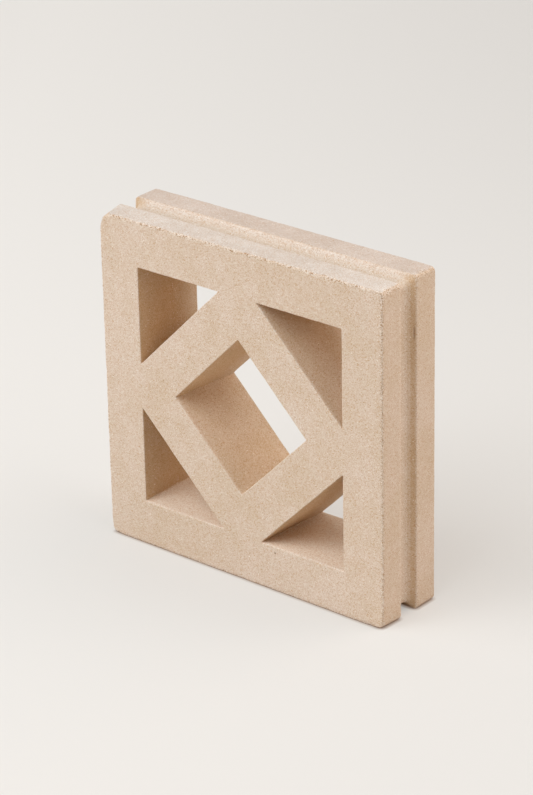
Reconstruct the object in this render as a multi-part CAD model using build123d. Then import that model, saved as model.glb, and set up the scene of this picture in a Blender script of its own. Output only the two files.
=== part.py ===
"""A cast concrete screen block: a square frame round a square opening on its point, grooved round the rim.

Millimetres. The block stands on its bottom edge with the front face towards -Y and +Z up. The origin is in the
middle of the bottom edge, halfway through the depth. Depths are measured from the front face.
"""

import os
from math import radians, sqrt, tan

from build123d import *

# Overall size
FACE = 290.0  # side of the square face
DEPTH = 68.0  # from the front face to the rear face
CORNER_RADIUS = 4.0  # the four outer corners, seen from the front
ARRIS_RADIUS = 1.2  # edges between each face and the rim

# Openings, measured on the front face
BORDER = 40.0  # straight frame between the rim and the triangles
BAR = 40.0  # slanting bars, across their length
JUNCTION = 40.0  # solid stretch between neighbouring triangles, where two bars meet the frame
DRAFT_ANGLE = 3.5  # degrees: the openings narrow towards the rear, so that the mould's cores come out
CORE_CORNER_RADIUS = 1.0  # corners of the openings, seen from the front
OPENING_EDGE_RADIUS = 0.8  # edges of the openings on both faces

# Mortar groove round the rim
FRONT_FLANGE = 24.0  # from the front face to the groove
GROOVE_MOUTH = 20.0  # width of the groove at the rim
GROOVE_FLOOR = 15.0  # width of the groove at its floor
GROOVE_DEPTH = 6.5
GROOVE_LIP_RADIUS = 1.0  # edges of the mouth
GROOVE_ROOT_RADIUS = 5.0  # where the floor meets the sloping sides
NECK_CORNER_RADIUS = 3.0  # corners of the groove's floor, seen from the front

# Working allowances
OVERRUN = 5.0  # how far the cores run past both faces, so that they cut clean
SAME_PLANE = 0.01  # an edge this near to a section's plane lies in it

# Worked out from the sizes above
HALF_WINDOW = FACE / 2 - BORDER  # centre to the inner side of the frame
SQUARE_SIDE = sqrt(2) * (HALF_WINDOW + JUNCTION / 2) - 2 * BAR  # the opening inside the slanting bars
NECK_SIDE = FACE - 2 * GROOVE_DEPTH
GROOVE_END = FRONT_FLANGE + GROOVE_MOUTH
GROOVE_SLOPE = (GROOVE_MOUTH - GROOVE_FLOOR) / 2  # how far each side of the groove leans
FLOOR_START = FRONT_FLANGE + GROOVE_SLOPE
FLOOR_END = GROOVE_END - GROOVE_SLOPE
TURN_TO_POINT = 45.0  # degrees from a level square to one that stands on its point
QUARTER_TURN = 90.0  # degrees from one corner of the block to the next


def section_plane(depth):
    """The plane across the block at a depth, seen from the front, with its origin on the block's axis."""
    return Plane((0, depth - DEPTH / 2, FACE / 2), x_dir=(1, 0, 0), z_dir=(0, -1, 0))


def body_section(depth, side, corner_radius):
    """A rounded square across the block at a depth."""
    return section_plane(depth) * RectangleRounded(side, side, corner_radius)


def solid_block():
    """The block before its openings are cored: two flanges, and the narrower neck between them."""
    sections = [
        body_section(0, FACE, CORNER_RADIUS),
        body_section(FRONT_FLANGE, FACE, CORNER_RADIUS),
        body_section(FLOOR_START, NECK_SIDE, NECK_CORNER_RADIUS),
        body_section(FLOOR_END, NECK_SIDE, NECK_CORNER_RADIUS),
        body_section(GROOVE_END, FACE, CORNER_RADIUS),
        body_section(DEPTH, FACE, CORNER_RADIUS),
    ]
    slabs = [loft([near, far], ruled=True) for near, far in zip(sections, sections[1:])]
    return Part() + slabs


def edges_at(part, depth):
    """The edges that lie in the section at a depth."""
    place = section_plane(depth).origin.Y
    return part.edges().filter_by_position(Axis.Y, place - SAME_PLANE, place + SAME_PLANE)


def rounded_rim(part):
    """The outer edges worn round, the groove's mouth eased, and its floor blended into its sides."""
    part = fillet(edges_at(part, 0) + edges_at(part, DEPTH), ARRIS_RADIUS)
    for depth in (FLOOR_START, FLOOR_END):
        part = fillet(edges_at(part, depth), GROOVE_ROOT_RADIUS)
    for depth in (FRONT_FLANGE, GROOVE_END):
        part = fillet(edges_at(part, depth), GROOVE_LIP_RADIUS)
    return part


def square_outline():
    """The middle opening: a square on its point."""
    return Rot(0, 0, TURN_TO_POINT) * Rectangle(SQUARE_SIDE, SQUARE_SIDE)


def triangle_outline():
    """The opening in the upper right of the frame, with its right angle towards the block's corner."""
    inner_end = JUNCTION / 2
    corners = [(HALF_WINDOW, HALF_WINDOW), (inner_end, HALF_WINDOW), (HALF_WINDOW, inner_end)]
    return make_face(Polyline(*corners, close=True))


def core_section(outline, depth):
    """An opening's outline at a depth: narrowed by the draft, with its corners rounded."""
    narrowing = depth * tan(radians(DRAFT_ANGLE))
    narrowed = offset(outline, -narrowing, kind=Kind.INTERSECTION)
    return section_plane(depth) * fillet(narrowed.vertices(), CORE_CORNER_RADIUS)


def core(outline):
    """The tapered core that moulds one opening, from its outline on the front face."""
    ends = [core_section(outline, depth) for depth in (-OVERRUN, DEPTH + OVERRUN)]
    return loft(ends, ruled=True)


def opening_cores():
    """The cores of the middle square and of the four corner triangles."""
    outlines = [square_outline()]
    for quarter in range(4):
        outlines.append(Rot(0, 0, quarter * QUARTER_TURN) * triangle_outline())
    return [core(outline) for outline in outlines]


def eased_openings(part):
    """The edges of the openings eased on the front and rear faces."""
    faces = part.faces().sort_by(Axis.Y)
    edges = ShapeList()
    for face in (faces[0], faces[-1]):
        for wire in face.inner_wires():
            edges += wire.edges()
    return fillet(edges, OPENING_EDGE_RADIUS)


def screen_block():
    """The finished block."""
    block = rounded_rim(solid_block())
    block -= opening_cores()
    return eased_openings(block)


os.makedirs("parts", exist_ok=True)
block = screen_block()
block.label = "screen_block"
export_step(block, "parts/screen_block.step")
print("screen_block, cubic mm:", round(block.volume))
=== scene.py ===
# %% [markdown]
# # A cast concrete screen block
#
# A screen block is a square of concrete with holes right through it, laid in courses to make a garden wall
# that lets light and air pass. This one is a single casting of fine sand and cement: a square frame, four
# slanting bars, and a groove round the rim that takes the mortar. The lesson loads the measured solid, sets
# up the picture, models the block again with the worn edges, knocked corners and chip that a real casting
# has, and gives it its finish.

import math

import bmesh
import bpy
from mathutils import Matrix, Vector


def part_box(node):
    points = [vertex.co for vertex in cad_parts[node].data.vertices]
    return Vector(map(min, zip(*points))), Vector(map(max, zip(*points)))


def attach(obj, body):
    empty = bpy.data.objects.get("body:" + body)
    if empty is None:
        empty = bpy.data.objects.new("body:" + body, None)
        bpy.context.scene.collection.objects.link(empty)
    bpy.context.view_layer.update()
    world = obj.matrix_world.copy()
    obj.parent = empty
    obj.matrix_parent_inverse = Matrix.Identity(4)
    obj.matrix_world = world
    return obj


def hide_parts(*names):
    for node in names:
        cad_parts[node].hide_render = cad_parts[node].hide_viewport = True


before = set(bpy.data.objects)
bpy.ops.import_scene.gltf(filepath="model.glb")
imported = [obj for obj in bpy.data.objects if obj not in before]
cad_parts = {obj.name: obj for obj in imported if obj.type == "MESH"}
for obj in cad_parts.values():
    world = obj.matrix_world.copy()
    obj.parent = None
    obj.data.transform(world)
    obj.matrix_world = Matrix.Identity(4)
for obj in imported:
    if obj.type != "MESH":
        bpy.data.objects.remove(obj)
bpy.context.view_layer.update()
MM = 0.001
low_corner, high_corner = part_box("screen_block")
FACE = high_corner.x - low_corner.x
DEPTH = high_corner.y - low_corner.y
print(f"the block is {FACE / MM:.1f} mm square and {DEPTH / MM:.1f} mm deep")

# %% [markdown]
# ## The camera
#
# The picture was taken from the right of the block and a little above it, with a long lens, so that upright
# edges stay nearly parallel. The camera is placed by the angles at which it looks at the block, which is
# easier to read and to change than three coordinates.

# %% Place the camera
CAMERA_AZIMUTH = math.radians(40.093)
CAMERA_ELEVATION = math.radians(24.28)
CAMERA_ROLL = math.radians(-1.171)
CAMERA_DISTANCE = 2.55  # metres
CAMERA_AIM = Vector((0.0001, 0, 0.1514))
CAMERA_LENS_MM = 142.7
SENSOR_HEIGHT_MM = 36

bpy.ops.object.select_all(action="DESELECT")
bpy.ops.object.camera_add()
camera = bpy.context.object
camera.name = "studio_camera"
camera.data.sensor_fit = "VERTICAL"
camera.data.sensor_height = SENSOR_HEIGHT_MM
camera.data.lens = CAMERA_LENS_MM
around = Matrix.Rotation(CAMERA_AZIMUTH, 4, "Z")
tilt = Matrix.Rotation(math.pi / 2 - CAMERA_ELEVATION, 4, "X")
roll = Matrix.Rotation(CAMERA_ROLL, 4, "Z")
step_back = Matrix.Translation((0, 0, CAMERA_DISTANCE))
camera.matrix_world = Matrix.Translation(CAMERA_AIM) @ around @ tilt @ roll @ step_back
bpy.context.scene.camera = camera
bpy.context.scene.view_settings.view_transform = "Standard"
print("camera at", [round(place, 3) for place in camera.matrix_world.translation])

# %% [markdown]
# ## Helpers for colours and nodes
#
# Colours are written as the hex values that a screen shows, and Blender's shaders want linear light, so one
# function converts them. Another adds a node, sets it up and links it, which keeps each material short
# enough to read from top to bottom.


# %% Colour and node helpers
def colour(hex_value):
    """A linear colour, with alpha, from an sRGB hex value such as "#D6BFA9"."""
    channels = [int(hex_value[place:place + 2], 16) / 255 for place in (1, 3, 5)]
    linear = [c / 12.92 if c <= 0.04045 else ((c + 0.055) / 1.055) ** 2.4 for c in channels]
    return (*linear, 1)


def add_node(tree, kind, inputs=None, **settings):
    """Adds a node: settings are its properties, and inputs gives each socket a value or a socket to read."""
    node = tree.nodes.new(kind)
    for name, value in settings.items():
        setattr(node, name, value)
    for name, value in (inputs or {}).items():
        if isinstance(value, bpy.types.NodeSocket):
            tree.links.new(value, node.inputs[name])
        else:
            node.inputs[name].default_value = value
    return node


def new_material(name):
    """An empty node material and its tree."""
    material = bpy.data.materials.new(name)
    material.use_nodes = True
    material.node_tree.nodes.clear()
    return material, material.node_tree


print("white is", colour("#FFFFFF"))

# %% [markdown]
# ## Floor and light
#
# The block stands on a pale paper sweep. The floor is one large plane, wide enough that its edge is never
# in view. Paper is matt: it gives no highlight, only soft shadows. It also glows a little, for the camera
# alone, which keeps the background pale without more light on the block. The glow's colour is painted
# darker to the right and lighter away from the camera, as painted falloff of the lamps' light. Where the
# block touches the paper, a thin brown painted shadow is mixed into the paper's colour, where an ambient
# occlusion node finds the block close.
#
# Studio light is described as a photographer would: from which side each lamp comes, how high it stands and
# how strong it is. Sun lamps with a wide angle act like large diffusers that are far away, so they light
# the whole floor evenly. The key comes from a real panel on the left. A second panel stands close by on the
# right, so that the right side is brighter at its top than near the floor.

# %% Floor
FLOOR_SIZE = 12  # metres

bpy.ops.mesh.primitive_plane_add(size=FLOOR_SIZE)
floor = bpy.context.object
floor.name = "studio_floor"
print(f"floor: {FLOOR_SIZE} m square")

# %% Paper
GLOW_SHARE = 0.45
FADE_RIGHT = 0.95  # how fast the painted falloff darkens the paper to the right, for each metre
FADE_AWAY = -0.08  # the same away from the camera, where it gets lighter
FADE_START = 0.36  # how far it has faded under the block
CONTACT_SHADOW_REACH = 3.5 * MM  # how far the painted brown contact shadow reaches out from the block

paper, tree = new_material("matt_paper")
place = add_node(tree, "ShaderNodeTexCoord").outputs["Object"]
turned = add_node(
    tree, "ShaderNodeMapping", {"Vector": place, "Rotation": (0, 0, -CAMERA_AZIMUTH)}
).outputs[0]
spot = add_node(tree, "ShaderNodeSeparateXYZ", {0: turned})
# painted falloff: the glow's colour darkens to the right and lightens away from the camera, in place of the
# lamps' falloff
painted_falloff = add_node(
    tree, "ShaderNodeMath", {0: spot.outputs["X"], 1: FADE_RIGHT, 2: FADE_START}, operation="MULTIPLY_ADD"
).outputs[0]
painted_falloff = add_node(
    tree,
    "ShaderNodeMath",
    {0: spot.outputs["Y"], 1: FADE_AWAY, 2: painted_falloff},
    operation="MULTIPLY_ADD",
    use_clamp=True,
).outputs[0]
tone = add_node(
    tree, "ShaderNodeMix", {"Factor": painted_falloff, 6: colour("#F8F5F0"), 7: colour("#D6D3CF")}, data_type="RGBA"
).outputs[2]
ray = add_node(tree, "ShaderNodeLightPath")
share = add_node(
    tree, "ShaderNodeMath", {0: ray.outputs["Is Camera Ray"], 1: GLOW_SHARE}, operation="MULTIPLY"
).outputs[0]
# painted shadow: where ambient occlusion finds the block close, the paper's colour turns brown
painted_contact_shadow = add_node(tree, "ShaderNodeAmbientOcclusion", {"Distance": CONTACT_SHADOW_REACH}).outputs["AO"]
paper_with_painted_shadow = add_node(
    tree, "ShaderNodeMix", {"Factor": painted_contact_shadow, 6: colour("#A07C5E"), 7: colour("#DFDBD6")}, data_type="RGBA"
).outputs[2]
glow_with_painted_shadow = add_node(
    tree, "ShaderNodeMix", {"Factor": painted_contact_shadow, 6: colour("#8A684C"), 7: tone}, data_type="RGBA"
).outputs[2]
shaded = add_node(tree, "ShaderNodeBsdfDiffuse", {"Color": paper_with_painted_shadow})
glow = add_node(tree, "ShaderNodeEmission", {"Color": glow_with_painted_shadow, "Strength": 1})
mix = add_node(tree, "ShaderNodeMixShader", {0: share, 1: shaded.outputs[0], 2: glow.outputs[0]})
add_node(tree, "ShaderNodeOutputMaterial", {"Surface": mix.outputs[0]})
floor.data.materials.append(paper)
print("paper:", len(tree.nodes), "nodes")

# %% Lamps
BLOCK_MIDDLE = Vector((0, 0, FACE / 2))
DIFFUSER_ANGLE = math.radians(50)
WIDE_ANGLE = math.radians(75)
KEY_DISTANCE = 2.8  # metres
SIDE_DISTANCE = 1.3


def light_matrix(azimuth, elevation, distance):
    """Where a lamp stands that lights the block from an azimuth, counted from the front, and an elevation."""
    around = Matrix.Rotation(math.radians(azimuth), 4, "Z")
    tilt = Matrix.Rotation(math.radians(90 - elevation), 4, "X")
    return Matrix.Translation(BLOCK_MIDDLE) @ around @ tilt @ Matrix.Translation((0, 0, distance))


def add_diffuser(name, azimuth, elevation, level, tint, angle=DIFFUSER_ANGLE):
    """A wide soft source far away: a level of 1 lights a white surface that faces it to full white."""
    bpy.ops.object.light_add(type="SUN")
    lamp = bpy.context.object
    lamp.name = name
    lamp.matrix_world = light_matrix(azimuth, elevation, KEY_DISTANCE)
    lamp.data.angle = angle
    lamp.data.energy = math.pi * level
    lamp.data.color = colour(tint)[:3]


def add_panel(name, azimuth, elevation, level, tint, distance):
    """A square panel lamp: about as bright on the block as a diffuser of that level, and dimmer beyond it."""
    bpy.ops.object.light_add(type="AREA")
    lamp = bpy.context.object
    lamp.name = name
    lamp.matrix_world = light_matrix(azimuth, elevation, distance)
    lamp.data.size = 2 * distance * math.tan(DIFFUSER_ANGLE / 2)
    lamp.data.energy = level * (math.pi * distance) ** 2
    lamp.data.color = colour(tint)[:3]
    lamp.visible_camera = False


add_panel("key_panel", azimuth=315, elevation=30, level=0.63, tint="#F7FBFF", distance=KEY_DISTANCE)
add_diffuser("front_diffuser", azimuth=352, elevation=52, level=0.50, tint="#F7FBFF")
add_panel("right_panel", azimuth=100, elevation=50, level=0.42, tint="#FFFFFF", distance=SIDE_DISTANCE)
add_diffuser("rear_right_diffuser", azimuth=138, elevation=45, level=0.29, tint="#FFFAF4", angle=WIDE_ANGLE)
add_diffuser("warm_reflector", azimuth=150, elevation=15, level=0.19, tint="#FFD0A4")
add_diffuser("rear_diffuser", azimuth=225, elevation=50, level=0.10, tint="#FFFFFF")

# %% World
WORLD_LEVEL = 0.03

world = bpy.data.worlds.new("studio_world")
bpy.context.scene.world = world
world.use_nodes = True
tree = world.node_tree
tree.nodes.clear()
ray = add_node(tree, "ShaderNodeLightPath")
fill = add_node(tree, "ShaderNodeBackground", {"Color": colour("#FFF6EC"), "Strength": WORLD_LEVEL})
backdrop = add_node(tree, "ShaderNodeBackground", {"Color": colour("#E6E3DE"), "Strength": 1})
mix = add_node(
    tree,
    "ShaderNodeMixShader",
    {0: ray.outputs["Is Camera Ray"], 1: fill.outputs[0], 2: backdrop.outputs[0]},
)
add_node(tree, "ShaderNodeOutputWorld", {"Surface": mix.outputs[0]})
print("the world's light on the block:", WORLD_LEVEL)

# %% [markdown]
# ## One quarter of the block
#
# The left half mirrors the right, and the lower half the upper, so only one quarter is modelled, with the
# block's axis at the origin. It starts as a cuboid. The mould's cores taper so that they can be pulled out,
# and each wall of an opening therefore leans by the draft angle. Cutting the cuboid with planes that lean
# in the same way marks the openings on the front and the rear face at once. A Boolean with solid cores
# would open them too, but it leaves long thin faces that are hard to bevel.

# %% Sizes of the casting
BORDER = 40 * MM
BAR = 40 * MM
JUNCTION = 40 * MM
DRAFT = math.radians(3.5)
CORNER_RADIUS = 4 * MM

HALF_FACE = FACE / 2
FRONT = -DEPTH / 2
REAR = DEPTH / 2
HALF_WINDOW = HALF_FACE - BORDER
MID_FRAME = HALF_WINDOW + BORDER / 2
BAR_OUTSIDE = HALF_WINDOW + JUNCTION / 2
BAR_INSIDE = BAR_OUTSIDE - BAR * math.sqrt(2)
SLANT = math.sqrt(0.5)  # the share across, and up, of a direction at 45 degrees
NEAR = 0.02 * MM  # points this close together count as one
FLAT = 0.99  # the least that the normal of a flat front or rear face runs through the depth
print(f"bars {BAR / MM:.0f} mm wide, openings {HALF_WINDOW / MM:.0f} mm out from the axis")


# %% Cut the openings into a quarter
def cut(point, direction):
    """Cuts the whole mesh by a plane through a point."""
    bpy.ops.mesh.select_all(action="SELECT")
    bpy.ops.mesh.bisect(plane_co=point, plane_no=direction, threshold=NEAR)


def leaning(across, up):
    """The direction of an opening's wall that faces this way across and up the front, with the draft added."""
    return (across * math.cos(DRAFT), math.sin(DRAFT), up * math.cos(DRAFT))


bpy.ops.object.select_all(action="DESELECT")
bpy.ops.mesh.primitive_cube_add(size=1, location=(HALF_FACE / 2, 0, HALF_FACE / 2))
block = bpy.context.object
block.name = "cast_screen_block"
block.scale = (HALF_FACE, DEPTH, HALF_FACE)
bpy.ops.object.transform_apply(location=True, rotation=True, scale=True)
bpy.ops.object.mode_set(mode="EDIT")
cut((HALF_WINDOW, FRONT, 0), leaning(1, 0))
cut((0, FRONT, HALF_WINDOW), leaning(0, 1))
cut((BAR_OUTSIDE, FRONT, 0), leaning(-SLANT, -SLANT))
cut((BAR_INSIDE, FRONT, 0), leaning(SLANT, SLANT))
print("cut quarter:", len(bmesh.from_edit_mesh(block.data).faces), "faces")


# %% Clear the openings
def pick(kind, wanted):
    """Selects the VERT, EDGE or FACE elements of the mesh in edit mode that pass a test, and nothing else."""
    bpy.ops.mesh.select_mode(type=kind)
    bpy.ops.mesh.select_all(action="DESELECT")
    mesh = bpy.context.edit_object.data
    shape = bmesh.from_edit_mesh(mesh)
    shape.normal_update()
    elements = {"VERT": shape.verts, "EDGE": shape.edges, "FACE": shape.faces}[kind]
    chosen = [element for element in elements if wanted(element)]
    for element in chosen:
        element.select_set(True)
    bmesh.update_edit_mesh(mesh)
    return len(chosen)


def flat_face(face):
    """Whether a face lies on the front or the rear of the block."""
    return abs(face.normal.y) > FLAT


def in_triangle(face):
    """Whether a front or rear face closes the corner triangle."""
    middle = face.calc_center_median()
    beyond_bar = middle.x + middle.z > BAR_OUTSIDE
    return flat_face(face) and beyond_bar and max(middle.x, middle.z) < HALF_WINDOW


def in_square(face):
    """Whether a front or rear face closes the middle square."""
    middle = face.calc_center_median()
    return flat_face(face) and middle.x + middle.z < BAR_INSIDE


def on_mirror_plane(face):
    """Whether a face lies where two quarters will meet."""
    middle = face.calc_center_median()
    return min(middle.x, middle.z) < NEAR


print("faces that close the triangle:", pick("FACE", in_triangle))
bpy.ops.mesh.bridge_edge_loops()
pick("FACE", on_mirror_plane)
bpy.ops.mesh.delete(type="FACE")
print("faces that close the square:", pick("FACE", in_square))
bpy.ops.mesh.delete(type="FACE")


# %% Wall of the middle square
def on_square_wall(edge):
    """Whether an edge is the front or rear edge of the middle square's wall."""
    middle = (edge.verts[0].co + edge.verts[1].co) / 2
    slanting = abs(edge.verts[0].co.x - edge.verts[1].co.x) > BAR_INSIDE / 2
    return edge.is_boundary and slanting and abs(middle.x - middle.z) < BAR / 2


print("edges of the square's wall:", pick("EDGE", on_square_wall))
bpy.ops.mesh.edge_face_add()
pick("VERT", lambda vert: not vert.link_faces)
bpy.ops.mesh.delete(type="VERT")
bpy.ops.object.mode_set(mode="OBJECT")
print("quarter:", len(block.data.polygons), "faces")

# %% [markdown]
# ## Four quarters and the groove
#
# A Mirror modifier copies the quarter across both middle planes. The groove is then cut into the rim: four
# cuts round the rim mark its mouth and its floor, and drawing the two floor cuts in towards the axis makes
# a trough with sloping sides.

# %% Mirror the quarter
mirror = block.modifiers.new("four_quarters", "MIRROR")
mirror.use_axis = (True, False, True)
mirror.merge_threshold = NEAR
bpy.ops.object.modifier_apply(modifier=mirror.name)
bpy.ops.object.mode_set(mode="EDIT")
bpy.ops.mesh.select_all(action="SELECT")
bpy.ops.mesh.remove_doubles(threshold=NEAR)
bpy.ops.mesh.normals_make_consistent(inside=False)
print("whole block:", len(bmesh.from_edit_mesh(block.data).faces), "faces")

# %% Round the corners and sink the groove
FRONT_FLANGE = 24 * MM
GROOVE_MOUTH = 20 * MM
GROOVE_FLOOR = 15 * MM
GROOVE_DEPTH = 6.5 * MM
CORNER_STEPS = 4

mouth_front = FRONT + FRONT_FLANGE
mouth_rear = mouth_front + GROOVE_MOUTH
slope = (GROOVE_MOUTH - GROOVE_FLOOR) / 2
floor_front = mouth_front + slope
floor_rear = mouth_rear - slope


def out_from_axis(point):
    """How far a point lies from the block's axis, measured square to the nearest side."""
    return max(abs(point.x), abs(point.z))


def on_rim(face):
    """Whether a face lies on one of the four sides."""
    return out_from_axis(face.calc_center_median()) > HALF_FACE - NEAR


def corner_edge(edge):
    """Whether an edge runs through the depth at one of the block's four corners."""
    return all(min(abs(vert.co.x), abs(vert.co.z)) > HALF_FACE - NEAR for vert in edge.verts)


for place in (mouth_front, floor_front, floor_rear, mouth_rear):
    pick("FACE", on_rim)
    bpy.ops.mesh.bisect(plane_co=(0, place, 0), plane_no=(0, 1, 0), threshold=NEAR)
print("corner edges:", pick("EDGE", corner_edge))
bpy.ops.mesh.bevel(offset=CORNER_RADIUS, segments=CORNER_STEPS, affect="EDGES")


def on_groove_floor(vert):
    """Whether a point of the rim lies on one of the two cuts that mark the groove's floor."""
    at_floor = min(abs(vert.co.y - floor_front), abs(vert.co.y - floor_rear)) < NEAR
    return at_floor and out_from_axis(vert.co) > MID_FRAME


print("points on the groove's floor:", pick("VERT", on_groove_floor))
inset_share = 1 - GROOVE_DEPTH / HALF_FACE
bpy.ops.transform.resize(value=(inset_share, 1, inset_share), center_override=(0, 0, 0))

# %% [markdown]
# ## Rounded edges
#
# No cast edge is sharp. The rim is worn to about a millimetre, the groove's lips and floor are eased, and
# the openings keep the tighter radius of their steel cores. A Bevel modifier could round all edges at once,
# but by one radius, so each kind of edge is found by its place and the faces that meet there, and gets its
# own.

# %% Round the edges
ARRIS_RADIUS = 1.2 * MM
LIP_RADIUS = 1 * MM
ROOT_RADIUS = 5 * MM
CORE_CORNER_RADIUS = 1 * MM
OPENING_EDGE_RADIUS = 0.8 * MM
ROUND_STEPS = 3


def outside(edge):
    """Whether an edge belongs to the rim rather than to an opening."""
    return min(out_from_axis(vert.co) for vert in edge.verts) > MID_FRAME


def face_edge(edge):
    """Whether an edge bounds the front or the rear face."""
    flats = [flat_face(face) for face in edge.link_faces]
    return any(flats) and not all(flats)


def at_depths(edge, *depths):
    """Whether both ends of an edge lie at one of these depths."""
    first, second = (vert.co.y for vert in edge.verts)
    return any(max(abs(first - depth), abs(second - depth)) < NEAR for depth in depths)


def core_corner(edge):
    """Whether an edge runs through the depth where two walls of an opening meet."""
    through = abs(edge.verts[0].co.y - edge.verts[1].co.y) > DEPTH / 2
    return through and not outside(edge) and edge.calc_face_angle(0) > DRAFT


def round_edges(title, wanted, radius):
    """Rounds the edges that pass a test."""
    print(f"{title}: {pick('EDGE', wanted)} edges rounded to {radius / MM:.1f} mm")
    bpy.ops.mesh.bevel(offset=radius, segments=ROUND_STEPS, affect="EDGES")


round_edges("corners of the openings", core_corner, CORE_CORNER_RADIUS)
round_edges("openings", lambda e: face_edge(e) and not outside(e), OPENING_EDGE_RADIUS)
round_edges("rim", lambda e: face_edge(e) and outside(e), ARRIS_RADIUS)
round_edges("groove floor", lambda e: outside(e) and at_depths(e, floor_front, floor_rear), ROOT_RADIUS)
round_edges("groove lips", lambda e: outside(e) and at_depths(e, mouth_front, mouth_rear), LIP_RADIUS)
print("rounded block:", len(bmesh.from_edit_mesh(block.data).faces), "faces")

# %% [markdown]
# ## A fine net of faces
#
# Relief needs points to move. Cutting the block with three sets of evenly spaced planes divides every flat
# face into a net of small squares. More cuts run just inside the rim and beside the groove, so that the
# strips which crumble have lines of their own, and those strips are then divided again along their length.

# %% Divide the faces
NET_SPACING = 2.9 * MM
WEAR_REACH = 2.2 * MM  # how far a worn strip reaches beyond the edge's rounding
CRUMB_CUTS = 2


def slice_along(direction, length):
    """Cuts the mesh with evenly spaced planes across one direction, centred on the origin."""
    count = round(length / NET_SPACING)
    for step in range(1, count):
        place = length * (step / count - 0.5)
        cut(Vector(direction) * place, direction)


slice_along((1, 0, 0), FACE)
slice_along((0, 0, 1), FACE)
slice_along((0, 1, 0), DEPTH)
worn_strip = ARRIS_RADIUS + WEAR_REACH
for side in (-1, 1):
    cut((side * (HALF_FACE - worn_strip), 0, 0), (1, 0, 0))
    cut((0, 0, side * (HALF_FACE - worn_strip)), (0, 0, 1))
for depth in (FRONT + worn_strip, mouth_front - LIP_RADIUS - WEAR_REACH):
    cut((0, depth, 0), (0, 1, 0))
for depth in (mouth_rear + LIP_RADIUS + WEAR_REACH, REAR - worn_strip):
    cut((0, depth, 0), (0, 1, 0))
print("net:", len(bmesh.from_edit_mesh(block.data).faces), "faces")


# %% Where the edges are worn
LIP_WEAR = 0.3  # all as shares of the wear on the top front edge
REAR_WEAR = 0.2
CORNER_WEAR = 0.7
RIGHT_WEAR = 0.72
SHELTERED_WEAR = 0.5


def inside_rim(point):
    """How far a point lies inside the rim, which is a square with rounded corners."""
    x = abs(point.x) - (HALF_FACE - CORNER_RADIUS)
    z = abs(point.z) - (HALF_FACE - CORNER_RADIUS)
    past_corner = math.hypot(max(x, 0), max(z, 0))
    return CORNER_RADIUS - past_corner - min(max(x, z), 0)


def fade_out(distance, radius):
    """1 on an edge's rounding, falling to 0 at the end of its worn strip."""
    return min(max(1 - (distance - radius) / WEAR_REACH, 0), 1)


def side_wear(point):
    """How hard each side was handled: the top most, then the right."""
    if point.z > MID_FRAME:
        return 1
    return RIGHT_WEAR if point.x > MID_FRAME else SHELTERED_WEAR


def edge_wear(point):
    """How worn a point is: most on the front edge and the upper right corner, and less on other edges."""
    in_from_rim = inside_rim(point)
    front = fade_out(max(in_from_rim, point.y - FRONT), ARRIS_RADIUS)
    rear = fade_out(max(in_from_rim, REAR - point.y), ARRIS_RADIUS)
    to_lip = min(abs(point.y - mouth_front), abs(point.y - mouth_rear))
    lip = fade_out(max(in_from_rim, to_lip), LIP_RADIUS)
    in_corner = min(point.x, point.z) > HALF_FACE - CORNER_RADIUS and in_from_rim < LIP_RADIUS
    corner = CORNER_WEAR if in_corner else 0
    return side_wear(point) * max(front, corner, LIP_WEAR * lip, REAR_WEAR * rear)


def long_worn_edge(edge):
    """Whether an edge runs along a worn strip and is long enough to divide."""
    first, second = (vert.co for vert in edge.verts)
    along = abs(first.y - second.y) < edge.calc_length() / 4
    worn_gap_shaded = edge_wear(first) > 0 and edge_wear(second) > 0
    return worn_gap_shaded and along and edge.calc_length() > NET_SPACING / 2


print("edges along the worn strips:", pick("EDGE", long_worn_edge))
bpy.ops.mesh.subdivide(number_cuts=CRUMB_CUTS)
print("with finer strips:", len(bmesh.from_edit_mesh(block.data).faces), "faces")
bpy.ops.object.mode_set(mode="OBJECT")

# %% [markdown]
# ## Knocked corners and a chip
#
# Three corners of the front have been rubbed rounder than the fourth, the upper left one most. A larger
# bevel there would look too regular. Instead, a vertex group weighs the points by their distance from the
# corner's tip, and two plain Displace modifiers, one for each direction, push them in by that weight. The
# tip moves most, and the points around it follow less and less. A long thin flake has also broken out of
# the right groove, and the same kind of push, along the normals, sinks its place.

# %% Push the corners in
KNOCK_REACH = 16 * MM
KNOCKS = (  # each corner's name, which way it lies across and up, and how far it is knocked in
    ("upper_left", -1, 1, 3.0 * MM),
    ("lower_left", -1, -1, 1.0 * MM),
    ("lower_right", 1, -1, 0.9 * MM),
)


def knocked(point, across, up):
    """How far a point follows a corner: 1 at the corner's tip on the front flange, 0 beyond the reach."""
    off_tip = math.hypot(point.x - across * HALF_FACE, point.z - up * HALF_FACE)
    nearness = max(1 - off_tip / KNOCK_REACH, 0)
    frontness = max(1 - (point.y - FRONT) / FRONT_FLANGE, 0)
    return frontness * nearness * nearness * (3 - 2 * nearness)


def weigh(name, measure, *settings):
    """Makes a vertex group from a measure of each point."""
    group = block.vertex_groups.new(name=name)
    for vert in block.data.vertices:
        weight = measure(vert.co, *settings)
        if weight:
            group.add([vert.index], weight, "REPLACE")


def push(name, direction, distance, group):
    """Moves a group's points along an axis of the block or along their normals, and applies it."""
    modifier = block.modifiers.new(name, "DISPLACE")
    modifier.direction = direction
    modifier.mid_level = 0
    modifier.strength = distance
    modifier.vertex_group = group
    bpy.ops.object.modifier_apply(modifier=modifier.name)


bpy.context.view_layer.objects.active = block
weigh("worn_edges", edge_wear)
for corner, across, up, depth in KNOCKS:
    weigh(corner, knocked, across, up)
    push(corner + "_inwards", "X", -across * depth, corner)
    push(corner + "_level", "Z", -up * depth, corner)
    print(f"{corner} corner knocked in by {depth / MM:.1f} mm")

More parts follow.
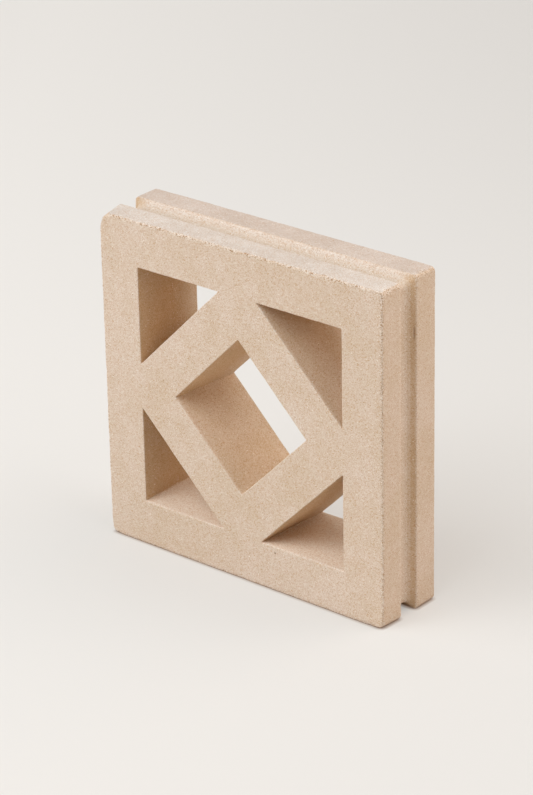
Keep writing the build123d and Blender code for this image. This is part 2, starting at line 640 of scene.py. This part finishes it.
# %% Break a chip out of the groove
CHIP_WIDTH = 1.15 * MM  # from its middle to its side
CHIP_LENGTH = 6.5 * MM  # from its middle to its end
CHIP_DEPTH = 1.2 * MM
CHIP_INSIDE = 2 * MM  # from the rim to the chip
CHIP_AHEAD = 0.7 * MM  # from the groove's rear lip
CHIP_HEIGHT = 96.5 * MM  # above the block's axis
chip_place = Vector((HALF_FACE - CHIP_INSIDE, mouth_rear - CHIP_AHEAD, CHIP_HEIGHT))


def chipped(point):
    """How much a point belongs to the long chip inside the right groove: 1 in its middle, 0 outside."""
    off = point - chip_place
    across = math.hypot(off.x, off.y) / CHIP_WIDTH
    return max(1 - math.hypot(across, off.z / CHIP_LENGTH), 0)


weigh("chipped_place", chipped)
push("chip_out", "NORMAL", -CHIP_DEPTH, "chipped_place")
print("points in the chip:", sum(chipped(vert.co) > 0 for vert in block.data.vertices))

# %% [markdown]
# ## Crumbling edges
#
# Fresh sandy concrete is weak at its edges: grains and small crumbs come away when it is lifted from the
# mould. A Displace modifier moves points along their normals by a noise pattern, and a vertex group keeps
# it to the worn edges. The noise goes through a ramp, so that most of the edge stays put and only some
# places are eaten away. The wear is also kept as an attribute, because the finish needs to know where the
# edges are bare. More attributes say where the groove, the walls of the openings and their edges are.

# %% Mark the places that the finish needs to know
def groove_depth(point):
    """How deep a point lies in the groove: 0 on the rim, 1 on the groove's floor."""
    at_mouth = mouth_front - NEAR < point.y < mouth_rear + NEAR
    share = min(max(inside_rim(point) / GROOVE_DEPTH, 0), 1)
    return share if at_mouth and out_from_axis(point) > MID_FRAME else 0


def core_wall(point):
    """Whether a point lies on the wall of an opening, where the mould's steel core was."""
    in_depth = FRONT + OPENING_EDGE_RADIUS - NEAR < point.y < REAR - OPENING_EDGE_RADIUS + NEAR
    return 1 if in_depth and out_from_axis(point) < HALF_WINDOW + NEAR else 0


def core_edge(point):
    """Whether a point lies on the rounded front edge of an opening."""
    in_depth = FRONT + NEAR < point.y < FRONT + OPENING_EDGE_RADIUS + NEAR
    return 1 if in_depth and out_from_axis(point) < HALF_WINDOW + OPENING_EDGE_RADIUS else 0


def front_lip(point):
    """Whether a point lies on the rounded lip between the front flange and the groove."""
    return 1 if abs(point.y - mouth_front) < LIP_RADIUS and inside_rim(point) < LIP_RADIUS else 0


def mark(name, measure):
    """Keeps a measure of each point as an attribute that a material can read."""
    attribute = block.data.attributes.new(name, "FLOAT", "POINT")
    values = [measure(vert.co) for vert in block.data.vertices]
    attribute.data.foreach_set("value", values)
    print(f"{name}: {sum(value > 0 for value in values)} points")


mark("edge_wear", edge_wear)
mark("groove_depth", groove_depth)
mark("core_wall", core_wall)
mark("core_edge", core_edge)
mark("front_lip", front_lip)
mark("groove_chip", chipped)


# %% Displace by noise
def displace(name, grain, depth, ramp, group=""):
    """Presses the surface in, by up to a depth, where clouds of a grain size pass through a ramp."""
    texture = bpy.data.textures.new(name, "CLOUDS")
    texture.noise_scale = grain
    texture.noise_depth = 1
    texture.use_color_ramp = True
    for stop, place, value in zip(texture.color_ramp.elements, ramp, (0, 1)):
        stop.position = place
        stop.color = (value, value, value, 1)
    modifier = block.modifiers.new(name, "DISPLACE")
    modifier.texture = texture
    modifier.texture_coords = "LOCAL"
    modifier.mid_level = 0
    modifier.strength = -depth
    modifier.vertex_group = group
    bpy.ops.object.modifier_apply(modifier=modifier.name)
    print(f"{name}: up to {depth / MM:.2f} mm deep, {grain / MM:.1f} mm across")


displace("edge_chips", grain=5 * MM, depth=0.6 * MM, ramp=(0.55, 0.8), group="worn_edges")
displace("edge_crumbs", grain=1.6 * MM, depth=0.35 * MM, ramp=(0.45, 0.7), group="worn_edges")
displace("mould_waves", grain=22 * MM, depth=0.25 * MM, ramp=(0.2, 0.8))

# %% [markdown]
# ## On its bed
#
# So far the block's axis was at the origin, where mirroring is easiest. Now the mesh is moved up in edit
# mode, so that the block stands on its bed while the object stays at the origin. Smooth shading alone would
# make flat faces look swollen near their rounded edges. Weighted normals let the large faces decide, so
# they look flat.

# %% Stand it on its bed and smooth it
bpy.ops.object.mode_set(mode="EDIT")
bpy.ops.mesh.select_all(action="SELECT")
bpy.ops.transform.translate(value=(0, 0, HALF_FACE))
bpy.ops.object.mode_set(mode="OBJECT")
bpy.ops.object.shade_smooth()
crisp = block.modifiers.new("crisp_faces", "WEIGHTED_NORMAL")
bpy.ops.object.modifier_apply(modifier=crisp.name)
print("block after relief:", [round(length / MM, 1) for length in block.dimensions], "mm")

# %% [markdown]
# ## Sandy concrete
#
# The block is cast from a semi-dry mix of fine sand, a little cement and warm buff pigment. Pressed sand
# like that is matt and grainy, with hardly any highlight. Slow drying leaves faint clouds of warmer and
# greyer tone, and these come first, as the body colour. Two noise textures make them, because a picture of
# concrete would show seams on a shape with so many walls. Each cell after this one lays one more finish
# over it. All patterns are worked out in millimetres, so that they keep their real size.

# %% Clouds of tone
CLOUD = 13.0  # mm across the small clouds of tone
DRIFT = 70.0  # mm across the large ones
TONE_ENDS = (0.75, 1.25)  # the sum of both noises at which the tone is warmest and greyest

concrete, tree = new_material("sand_cast_concrete")
place = add_node(tree, "ShaderNodeTexCoord").outputs["Object"]
in_mm = add_node(tree, "ShaderNodeMapping", {"Vector": place, "Scale": (1 / MM,) * 3}).outputs[0]
position = add_node(tree, "ShaderNodeSeparateXYZ", {0: in_mm})
cloud = add_node(tree, "ShaderNodeTexNoise", {"Vector": in_mm, "Scale": 1 / CLOUD, "Detail": 3})
drift = add_node(tree, "ShaderNodeTexNoise", {"Vector": in_mm, "Scale": 1 / DRIFT, "Detail": 1})
tone = add_node(
    tree, "ShaderNodeMath", {0: cloud.outputs["Fac"], 1: drift.outputs["Fac"]}, operation="ADD"
).outputs[0]
tone = add_node(
    tree, "ShaderNodeMapRange", {"Value": tone, "From Min": TONE_ENDS[0], "From Max": TONE_ENDS[1]}
).outputs[0]
body = add_node(
    tree, "ShaderNodeMix", {"Factor": tone, 6: colour("#DCCBB7"), 7: colour("#E3D4C5")}, data_type="RGBA"
).outputs[2]
print("body colour:", len(tree.nodes), "nodes")

# %% [markdown]
# ## Painted shade, painted light and painted highlights
#
# The walls of the openings and the groove's side that looks to the front carry a warm brown painted shade,
# which stands in for the shade there and the warmth of light that bounced between the walls. It is
# multiplied over the body colour, so that the clouds still show through, and in the openings it gives out
# towards the rear, as painted light from behind. Ledges in the openings are painted paler instead, as
# painted light, and edges of the openings that look left or up, and the groove's front lip, carry a
# painted highlight. The direction in which a face points tells walls from ledges, and the marks kept on
# the mesh say where the openings are. A painted mask could do the same, but it would have to be painted
# again whenever a size changes.

# %% Painted brown shade on sheltered walls
SHADE_ENDS = (5.0, 30.0)  # mm behind the middle, over which the painted shade in the openings gives out towards the rear
SHELTER_DEPTH = 0.3  # the share of the groove's depth from which its rear side carries the whole painted shade
WALL_TILT = (0.5, 0.1)  # how far a wall looks up where the painted shade starts and where it is whole
FRONT_TILT = (-0.3, -0.8)  # how far the groove's side looks to the front, likewise

normal = add_node(tree, "ShaderNodeNewGeometry").outputs["Normal"]
facing = add_node(tree, "ShaderNodeSeparateXYZ", {0: normal})
core = add_node(tree, "ShaderNodeAttribute", attribute_name="core_wall").outputs["Fac"]
wall_share = add_node(
    tree,
    "ShaderNodeMapRange",
    {"Value": facing.outputs["Z"], "From Min": WALL_TILT[0], "From Max": WALL_TILT[1]},
).outputs[0]
core_shade = add_node(tree, "ShaderNodeMath", {0: core, 1: wall_share}, operation="MULTIPLY").outputs[0]
# the painted shade in the openings gives out towards the rear, as painted light from behind
shade_left = add_node(
    tree,
    "ShaderNodeMapRange",
    {"Value": position.outputs["Y"], "From Min": SHADE_ENDS[1], "From Max": SHADE_ENDS[0]},
).outputs[0]
core_shade = add_node(tree, "ShaderNodeMath", {0: core_shade, 1: shade_left}, operation="MULTIPLY").outputs[0]
depth_in_groove = add_node(tree, "ShaderNodeAttribute", attribute_name="groove_depth").outputs["Fac"]
facing_front = add_node(
    tree,
    "ShaderNodeMapRange",
    {"Value": facing.outputs["Y"], "From Min": FRONT_TILT[0], "From Max": FRONT_TILT[1]},
).outputs[0]
in_shelter = add_node(
    tree, "ShaderNodeMapRange", {"Value": depth_in_groove, "From Max": SHELTER_DEPTH}
).outputs[0]
groove_shade = add_node(
    tree, "ShaderNodeMath", {0: in_shelter, 1: facing_front, 2: core_shade}, operation="MULTIPLY_ADD"
).outputs[0]
# painted shade: the walls of the openings are made a little warmer, then the brown shade is multiplied on
walls_warm_shaded = add_node(
    tree,
    "ShaderNodeMix",
    {"Factor": core, 6: body, 7: colour("#FFFBF3")},
    data_type="RGBA",
    blend_type="MULTIPLY",
).outputs[2]
walls_shaded = add_node(
    tree,
    "ShaderNodeMix",
    {"Factor": groove_shade, 6: walls_warm_shaded, 7: colour("#F3E9D8")},
    data_type="RGBA",
    blend_type="MULTIPLY",
).outputs[2]
print("with film:", len(tree.nodes), "nodes")

# %% Painted light on ledges
LEDGE_TILT = (0.75, 0.95)  # how far a ledge looks up where the painted light starts and where it is whole

ledge = add_node(
    tree,
    "ShaderNodeMapRange",
    {"Value": facing.outputs["Z"], "From Min": LEDGE_TILT[0], "From Max": LEDGE_TILT[1]},
).outputs[0]
ledge_light = add_node(tree, "ShaderNodeMath", {0: core, 1: ledge}, operation="MULTIPLY").outputs[0]
# painted light: ledges in the openings are painted paler, as if more light fell on them
ledges_lit = add_node(
    tree, "ShaderNodeMix", {"Factor": ledge_light, 6: walls_shaded, 7: colour("#EBDCCB")}, data_type="RGBA"
).outputs[2]
print("with dust:", len(tree.nodes), "nodes")

# %% Painted highlights on the edges of the openings and the groove
LEFT_EDGE_HIGHLIGHT = 0.7  # how strong the painted highlight is on edges that look left
UPPER_EDGE_HIGHLIGHT = 0.45  # the same for edges that look up
LIP_HIGHLIGHT = 0.22  # the same for the groove's front lip
EDGE_HIGHLIGHT_TILT = (0.1, 0.4)  # how far an edge looks left or up where the painted highlight starts and where it is whole

rim = add_node(tree, "ShaderNodeAttribute", attribute_name="core_edge").outputs["Fac"]
facing_left = add_node(
    tree,
    "ShaderNodeMapRange",
    {"Value": facing.outputs["X"], "From Min": -EDGE_HIGHLIGHT_TILT[0], "From Max": -EDGE_HIGHLIGHT_TILT[1], "To Max": LEFT_EDGE_HIGHLIGHT},
).outputs[0]
facing_up = add_node(
    tree,
    "ShaderNodeMapRange",
    {"Value": facing.outputs["Z"], "From Min": EDGE_HIGHLIGHT_TILT[0], "From Max": EDGE_HIGHLIGHT_TILT[1], "To Max": UPPER_EDGE_HIGHLIGHT},
).outputs[0]
lit_side = add_node(tree, "ShaderNodeMath", {0: facing_left, 1: facing_up}, operation="MAXIMUM").outputs[0]
highlight_share = add_node(tree, "ShaderNodeMath", {0: rim, 1: lit_side}, operation="MULTIPLY").outputs[0]
lip = add_node(tree, "ShaderNodeAttribute", attribute_name="front_lip").outputs["Fac"]
highlight_share = add_node(
    tree, "ShaderNodeMath", {0: lip, 1: LIP_HIGHLIGHT, 2: highlight_share}, operation="MULTIPLY_ADD"
).outputs[0]
# painted highlight: edges that look towards the lamps, and the groove's front lip, are painted paler
edges_highlighted = add_node(
    tree, "ShaderNodeMix", {"Factor": highlight_share, 6: ledges_lit, 7: colour("#FBF3EA")}, data_type="RGBA"
).outputs[2]
print("with rubbed edges:", len(tree.nodes), "nodes")

# %% [markdown]
# ## The top and its groove
#
# The top dried under the trowel, so its skin is smoother than the moulded sides. Its greyer colour is partly
# the skin's own and partly painted light, which stands in for cooler light from above; it is a little
# darker towards the rear. Towards the front it is broken off in small teeth: a fine noise shifts the line
# where the skin starts, and the tilt at which it ends on a rounded edge. A second material on the top's
# faces would be simpler, but its border would follow the net of faces. In the groove in the top, painted
# light makes the side paler high up, and painted shade makes the floor darker.

# %% Where the trowelled skin lies
TOP_SKIN_LEVEL = 288.0  # mm above the bed, over which faces that look up carry the skin
RAGGED = 1.3  # mm between the teeth of the skin's broken front edge
TOOTH = 2.0  # mm that the teeth reach back from the front face
TEETH_ENDS = (0.3, 0.7)  # the noise at which a tooth reaches back least and most
SKIN_TILT = (0.84, 0.9)  # how far a face looks up where the skin starts and where it is whole
RAGGED_TILT = 0.3  # how much the teeth change that tilt on a rounded edge

at_top = add_node(
    tree, "ShaderNodeMath", {0: position.outputs["Z"], 1: TOP_SKIN_LEVEL}, operation="GREATER_THAN"
).outputs[0]
teeth = add_node(
    tree, "ShaderNodeTexNoise", {"Vector": in_mm, "Scale": 1 / RAGGED, "Detail": 1}
).outputs["Fac"]
level = add_node(
    tree, "ShaderNodeMath", {0: teeth, 1: RAGGED_TILT, 2: facing.outputs["Z"]}, operation="MULTIPLY_ADD"
).outputs[0]
tilt_low, tilt_high = (tilt + RAGGED_TILT / 2 for tilt in SKIN_TILT)
level = add_node(
    tree, "ShaderNodeMapRange", {"Value": level, "From Min": tilt_low, "From Max": tilt_high}
).outputs[0]
skin_start = add_node(
    tree,
    "ShaderNodeMapRange",
    {
        "Value": teeth,
        "From Min": TEETH_ENDS[0],
        "From Max": TEETH_ENDS[1],
        "To Min": FRONT / MM,
        "To Max": FRONT / MM + TOOTH,
    },
).outputs[0]
behind = add_node(
    tree, "ShaderNodeMath", {0: position.outputs["Y"], 1: skin_start}, operation="GREATER_THAN"
).outputs[0]
skin = add_node(tree, "ShaderNodeMath", {0: level, 1: at_top}, operation="MULTIPLY").outputs[0]
skin = add_node(tree, "ShaderNodeMath", {0: skin, 1: behind}, operation="MULTIPLY").outputs[0]
print("place of the skin:", len(tree.nodes), "nodes")

# %% Colour of the skin, partly painted cool light
# partly painted light: the skin's grey is its own and stands in for cooler light from above; it darkens a
# little towards the rear
rearward = add_node(
    tree,
    "ShaderNodeMapRange",
    {"Value": position.outputs["Y"], "From Min": mouth_front / MM, "From Max": mouth_rear / MM},
).outputs[0]
skin_and_cool_light = add_node(
    tree, "ShaderNodeMix", {"Factor": rearward, 6: colour("#DDD7D1"), 7: colour("#D6CCC4")}, data_type="RGBA"
).outputs[2]
mottle = add_node(
    tree, "ShaderNodeMix", {"Factor": tone, 6: colour("#F2EFEC"), 7: colour("#FFFFFF")}, data_type="RGBA"
).outputs[2]
skin_and_cool_light = add_node(
    tree, "ShaderNodeMix", {"Factor": 1, 6: skin_and_cool_light, 7: mottle}, data_type="RGBA", blend_type="MULTIPLY"
).outputs[2]
top_skin_and_cool_light = add_node(
    tree, "ShaderNodeMix", {"Factor": skin, 6: edges_highlighted, 7: skin_and_cool_light}, data_type="RGBA"
).outputs[2]
print("with the skin:", len(tree.nodes), "nodes")

# %% Painted light and shade in the top groove
GROOVE_FLOOR_LEVEL = (FACE - GROOVE_DEPTH) / MM  # mm above the bed
SIDE_GROOVES_LEVEL = GROOVE_FLOOR_LEVEL - 1  # below this, the groove belongs to the sides
PALE_LEVEL = GROOVE_FLOOR_LEVEL + 5.0  # here the painted light on the groove's side is strongest
GROOVE_ENDS = (HALF_FACE / MM - 16, HALF_FACE / MM - 4)  # mm from the middle, where the painted light and shade give out
GROOVE_PAINT_DEPTH = 0.15  # the share of the groove's depth from which the painting is whole

in_groove = add_node(
    tree, "ShaderNodeMapRange", {"Value": depth_in_groove, "From Max": GROOVE_PAINT_DEPTH}
).outputs[0]
over_floor = add_node(
    tree, "ShaderNodeMath", {0: position.outputs["Z"], 1: SIDE_GROOVES_LEVEL}, operation="GREATER_THAN"
).outputs[0]
in_groove = add_node(tree, "ShaderNodeMath", {0: in_groove, 1: over_floor}, operation="MULTIPLY").outputs[0]
off_middle = add_node(tree, "ShaderNodeMath", {0: position.outputs["X"]}, operation="ABSOLUTE").outputs[0]
off_ends = add_node(
    tree,
    "ShaderNodeMapRange",
    {"Value": off_middle, "From Min": GROOVE_ENDS[1], "From Max": GROOVE_ENDS[0]},
).outputs[0]
in_groove = add_node(tree, "ShaderNodeMath", {0: in_groove, 1: off_ends}, operation="MULTIPLY").outputs[0]
rise = add_node(
    tree,
    "ShaderNodeMapRange",
    {"Value": position.outputs["Z"], "From Min": GROOVE_FLOOR_LEVEL, "From Max": PALE_LEVEL},
).outputs[0]
# painted shade on the groove's floor, rising to painted light high on its side
groove_light_and_shade = add_node(
    tree, "ShaderNodeMix", {"Factor": rise, 6: colour("#D0C5B8"), 7: colour("#ECE3DA")}, data_type="RGBA"
).outputs[2]
groove_painted = add_node(
    tree, "ShaderNodeMix", {"Factor": in_groove, 6: top_skin_and_cool_light, 7: groove_light_and_shade}, data_type="RGBA"
).outputs[2]
print("with the top groove:", len(tree.nodes), "nodes")

# %% [markdown]
# ## Sand, white grains and pits
#
# Every grain of sand has a shade of its own, a few are nearly white, and some have fallen out and left a
# pit, painted brown as the shade inside it. A Voronoi texture suits this: it divides space into cells of
# about one size and gives each a random colour. A fine one tints every grain. A coarser one decides by lot
# which places hold a white grain or a pit, and only the middle of such a cell is coloured.

# %% Grains of sand
GRAIN = 0.55  # mm across a grain, a little coarser than fine sand so that it still shows
SKIN_CALM = 0.9  # the share of the grain's contrast that still shows through the skin

grains = add_node(tree, "ShaderNodeTexVoronoi", {"Vector": in_mm, "Scale": 1 / GRAIN})
shade = add_node(tree, "ShaderNodeSeparateColor", {0: grains.outputs["Color"]}).outputs[0]
shade = add_node(tree, "ShaderNodeMath", {0: shade}, operation="SQRT").outputs[0]
contrast = add_node(tree, "ShaderNodeMapRange", {"Value": skin, "To Min": 1, "To Max": SKIN_CALM}).outputs[0]
tint = add_node(
    tree, "ShaderNodeMix", {"Factor": shade, 6: colour("#DDBA95"), 7: colour("#FFFFFF")}, data_type="RGBA"
).outputs[2]
grainy = add_node(
    tree, "ShaderNodeMix", {"Factor": contrast, 6: groove_painted, 7: tint}, data_type="RGBA", blend_type="MULTIPLY"
).outputs[2]
print("with grains:", len(tree.nodes), "nodes")

# %% White grains and pits
SPECK = 1.8  # mm between the grains that may be white or fallen out
SPECK_RIM = (0.23, 0.15)  # how far from its middle a speck ends and is whole, as shares of that spacing
WHITE_SHARE = 0.13  # of all specks
PIT_SHARE = 0.2
GROOVE_PIT_SHARE = 0.6  # the share of pits in the top groove, where their painted shade darkens it further

specks = add_node(tree, "ShaderNodeTexVoronoi", {"Vector": in_mm, "Scale": 1 / SPECK})
lottery = add_node(tree, "ShaderNodeSeparateColor", {0: specks.outputs["Color"]}).outputs[0]
speck_core = add_node(
    tree,
    "ShaderNodeMapRange",
    {"Value": specks.outputs["Distance"], "From Min": SPECK_RIM[0], "From Max": SPECK_RIM[1]},
).outputs[0]
white = add_node(
    tree, "ShaderNodeMath", {0: lottery, 1: 1 - WHITE_SHARE}, operation="GREATER_THAN"
).outputs[0]
white = add_node(tree, "ShaderNodeMath", {0: white, 1: speck_core}, operation="MULTIPLY").outputs[0]
pit_share = add_node(
    tree, "ShaderNodeMapRange", {"Value": in_groove, "To Min": PIT_SHARE, "To Max": GROOVE_PIT_SHARE}
).outputs[0]
pit = add_node(tree, "ShaderNodeMath", {0: lottery, 1: pit_share}, operation="LESS_THAN").outputs[0]
pit = add_node(tree, "ShaderNodeMath", {0: pit, 1: speck_core}, operation="MULTIPLY").outputs[0]
speckled = add_node(
    tree, "ShaderNodeMix", {"Factor": white, 6: grainy, 7: colour("#F8EFE5")}, data_type="RGBA"
).outputs[2]
# painted shade: a pit's brown stands in for the shade in its hollow
pit_shaded = add_node(
    tree, "ShaderNodeMix", {"Factor": pit, 6: speckled, 7: colour("#AE8A66")}, data_type="RGBA"
).outputs[2]
print("with white grains and pits:", len(tree.nodes), "nodes")

# %% [markdown]
# ## Worn edges, the chip and the air hole
#
# Where an edge has crumbled, bare grains stand out pale, and the gaps between them are painted brown as
# the shade in them. The wear that was kept on the mesh says where. A slow noise makes some stretches of
# edge more worn than others. The chip and a small air hole on the front are darkened as well, because
# little light gets into them. The hole is colour alone: it is smaller than the faces of the net.

# %% Bare crumbs on the worn edges
CRUMB = 0.8  # mm across a crumb
PATCH = 16.0  # mm between stretches of edge that are more or less worn
PATCH_ENDS = (0.38, 0.6)  # the noise at which a stretch is worn least and most
LEAST_WEAR = 0.45
BARE_SHARE = 0.25  # of all crumbs
GAP_SHARE = 0.25

wear = add_node(tree, "ShaderNodeAttribute", attribute_name="edge_wear").outputs["Fac"]
patches = add_node(
    tree, "ShaderNodeTexNoise", {"Vector": in_mm, "Scale": 1 / PATCH, "Detail": 1}
).outputs["Fac"]
patches = add_node(
    tree,
    "ShaderNodeMapRange",
    {"Value": patches, "From Min": PATCH_ENDS[0], "From Max": PATCH_ENDS[1], "To Min": LEAST_WEAR},
).outputs[0]
wear = add_node(tree, "ShaderNodeMath", {0: wear, 1: patches}, operation="MULTIPLY").outputs[0]
crumbs = add_node(tree, "ShaderNodeTexVoronoi", {"Vector": in_mm, "Scale": 1 / CRUMB})
draw = add_node(tree, "ShaderNodeSeparateColor", {0: crumbs.outputs["Color"]}).outputs[0]
bare = add_node(tree, "ShaderNodeMath", {0: draw, 1: 1 - BARE_SHARE}, operation="GREATER_THAN").outputs[0]
bare = add_node(tree, "ShaderNodeMath", {0: bare, 1: wear}, operation="MULTIPLY").outputs[0]
gap = add_node(tree, "ShaderNodeMath", {0: draw, 1: GAP_SHARE}, operation="LESS_THAN").outputs[0]
gap = add_node(tree, "ShaderNodeMath", {0: gap, 1: wear}, operation="MULTIPLY").outputs[0]
crumbly = add_node(
    tree, "ShaderNodeMix", {"Factor": bare, 6: pit_shaded, 7: colour("#EDDFD0")}, data_type="RGBA"
).outputs[2]
# painted shade: the gaps between crumbs are painted brown
worn_gap_shaded = add_node(
    tree, "ShaderNodeMix", {"Factor": gap, 6: crumbly, 7: colour("#A57C55")}, data_type="RGBA"
).outputs[2]
print("with crumbs:", len(tree.nodes), "nodes")

# %% Shade in the chip and in the air hole
AIR_HOLE = (34.5, FRONT / MM, 34.6)  # mm, on the lower front
AIR_HOLE_RADIUS = 1.0  # mm
CHIP_SHADE = 0.5  # how much a point belongs to the chip where its shade is whole

chip = add_node(tree, "ShaderNodeAttribute", attribute_name="groove_chip").outputs["Fac"]
chip = add_node(tree, "ShaderNodeMapRange", {"Value": chip, "From Max": CHIP_SHADE}).outputs[0]
to_hole = add_node(
    tree, "ShaderNodeVectorMath", {0: in_mm, 1: AIR_HOLE}, operation="DISTANCE"
).outputs["Value"]
hole = add_node(
    tree,
    "ShaderNodeMapRange",
    {"Value": to_hole, "From Min": AIR_HOLE_RADIUS, "From Max": AIR_HOLE_RADIUS / 2},
).outputs[0]
dark = add_node(tree, "ShaderNodeMath", {0: chip, 1: hole}, operation="MAXIMUM").outputs[0]
finished = add_node(
    tree, "ShaderNodeMix", {"Factor": dark, 6: worn_gap_shaded, 7: colour("#855F3E")}, data_type="RGBA"
).outputs[2]
print("with chip and air hole:", len(tree.nodes), "nodes")

# %% [markdown]
# ## Relief and gloss
#
# Each grain stands a quarter of a millimetre proud at most. That is far too fine for the mesh, so a Bump
# node tilts the surface's normals instead, with the pits and gaps sunk. Dry concrete is porous and nearly
# as matt as chalk: a high roughness and a weak highlight give that.

# %% Relief and shader
GRAIN_RELIEF = 0.25 * MM
RELIEF_STRENGTH = 0.4
GAP_HOLLOW = 0.4  # how deep a gap between crumbs is, as a share of a pit
ROUGHNESS = 0.92
HIGHLIGHT = 0.25  # half the usual level

sand = add_node(tree, "ShaderNodeTexNoise", {"Vector": in_mm, "Scale": 1 / GRAIN, "Detail": 2}).outputs["Fac"]
hollow = add_node(
    tree, "ShaderNodeMath", {0: gap, 1: GAP_HOLLOW, 2: pit}, operation="MULTIPLY_ADD"
).outputs[0]
relief = add_node(tree, "ShaderNodeMath", {0: sand, 1: hollow}, operation="SUBTRACT").outputs[0]
bump = add_node(
    tree, "ShaderNodeBump", {"Strength": RELIEF_STRENGTH, "Distance": GRAIN_RELIEF, "Height": relief}
).outputs[0]
shader = add_node(
    tree,
    "ShaderNodeBsdfPrincipled",
    {"Base Color": finished, "Roughness": ROUGHNESS, "Specular IOR Level": HIGHLIGHT, "Normal": bump},
)
add_node(tree, "ShaderNodeOutputMaterial", {"Surface": shader.outputs[0]})
block.data.materials.append(concrete)
print("concrete:", len(tree.nodes), "nodes")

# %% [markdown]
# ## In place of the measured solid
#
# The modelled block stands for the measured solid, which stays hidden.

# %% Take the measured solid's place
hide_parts("screen_block")
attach(block, "root")
triangles = sum(len(face.vertices) - 2 for face in block.data.polygons)
print("triangles:", triangles)
